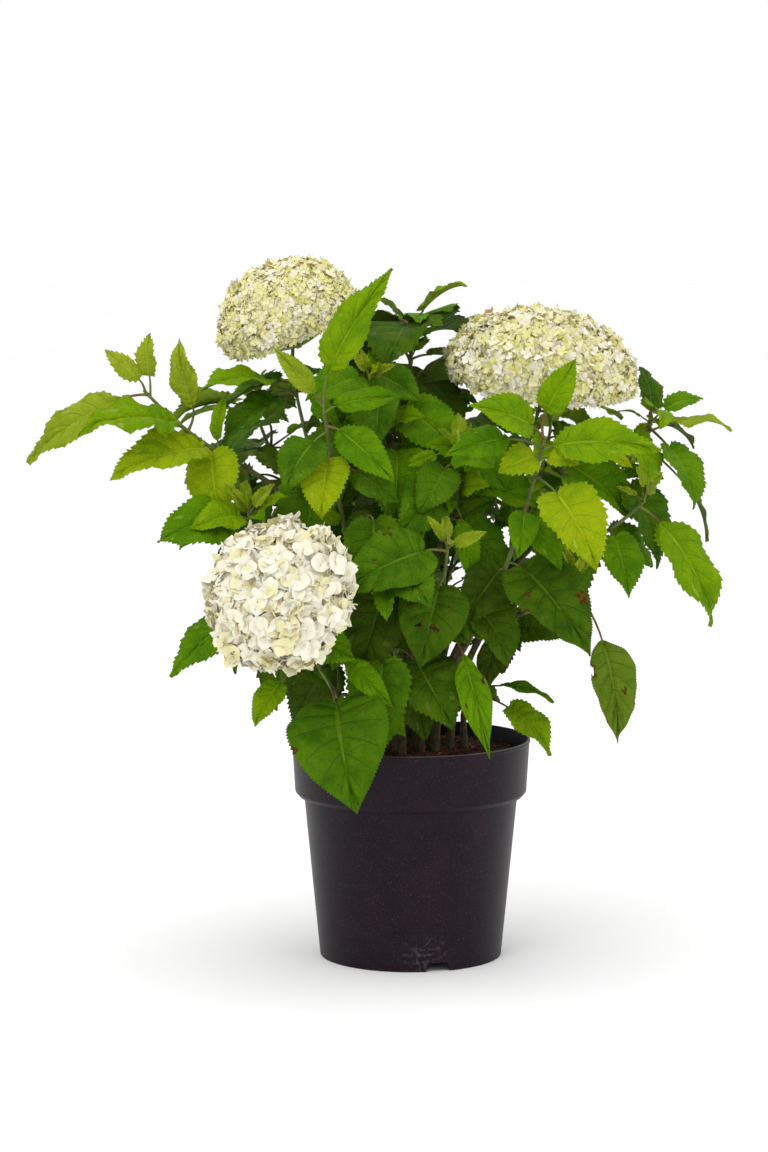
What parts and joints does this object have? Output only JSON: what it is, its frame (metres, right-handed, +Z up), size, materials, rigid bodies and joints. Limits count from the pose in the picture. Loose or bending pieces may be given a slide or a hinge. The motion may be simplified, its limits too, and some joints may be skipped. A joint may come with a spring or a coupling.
{
  "type": "potted hydrangea shrub",
  "caption": "Leafy garden hydrangea with large white mophead blooms on branching canes, growing in a round black nursery pot of bark medium.",
  "frame": {"origin": "middle of the pot's flat underside, on the surface it stands on", "axes": "+Z up, the plant's front towards -Y, +X to the right as seen from the front"},
  "size_m": [0.7348, 0.5618, 0.731],
  "materials": {
    "pot": "satin plum-black moulded plastic, slightly scuffed",
    "medium": "damp fibrous composted bark",
    "bark": "young green-brown cane bark",
    "leaf": "matt green leaf with sunken veins",
    "petal": "matt creamy white petal"
  },
  "bodies": {
    "root": {"pot": "pot", "growing_medium": "medium", "cane_back_left": "bark", "cane_back_middle": "bark", "cane_back_right": "bark", "cane_front_left": "bark", "cane_front_middle": "bark", "cane_front_right": "bark", "cane_left_bloom": "bark", "cane_left_side": "bark", "cane_left_top": "bark", "cane_low_back_left": "bark", "cane_low_back_middle": "bark", "cane_low_back_right": "bark", "cane_low_left": "bark", "cane_low_middle": "bark", "cane_middle": "bark", "cane_right_bloom": "bark", "cane_right_low": "bark", "cane_rim_right": "bark", "cane_top_back": "bark", "side_bough_low_right": "bark", "side_bough_right_top": "bark", "side_bough_top_front": "bark", "foliage_back_left": "leaf", "foliage_back_middle": "leaf", "foliage_back_right": "leaf", "foliage_front_left": "leaf", "foliage_front_middle": "leaf", "foliage_front_right": "leaf", "foliage_left_bloom": "leaf", "foliage_left_side": "leaf", "foliage_left_top": "leaf", "foliage_low_back_left": "leaf", "foliage_low_back_middle": "leaf", "foliage_low_back_right": "leaf", "foliage_low_left": "leaf", "foliage_low_middle": "leaf", "foliage_low_right": "leaf", "foliage_middle": "leaf", "foliage_right_bloom": "leaf", "foliage_right_low": "leaf", "foliage_right_top": "leaf", "foliage_rim_right": "leaf", "foliage_top_back": "leaf", "foliage_top_front": "leaf", "bloom_left": "petal", "bloom_low": "petal", "bloom_right": "petal"}
  },
  "joints": []
}
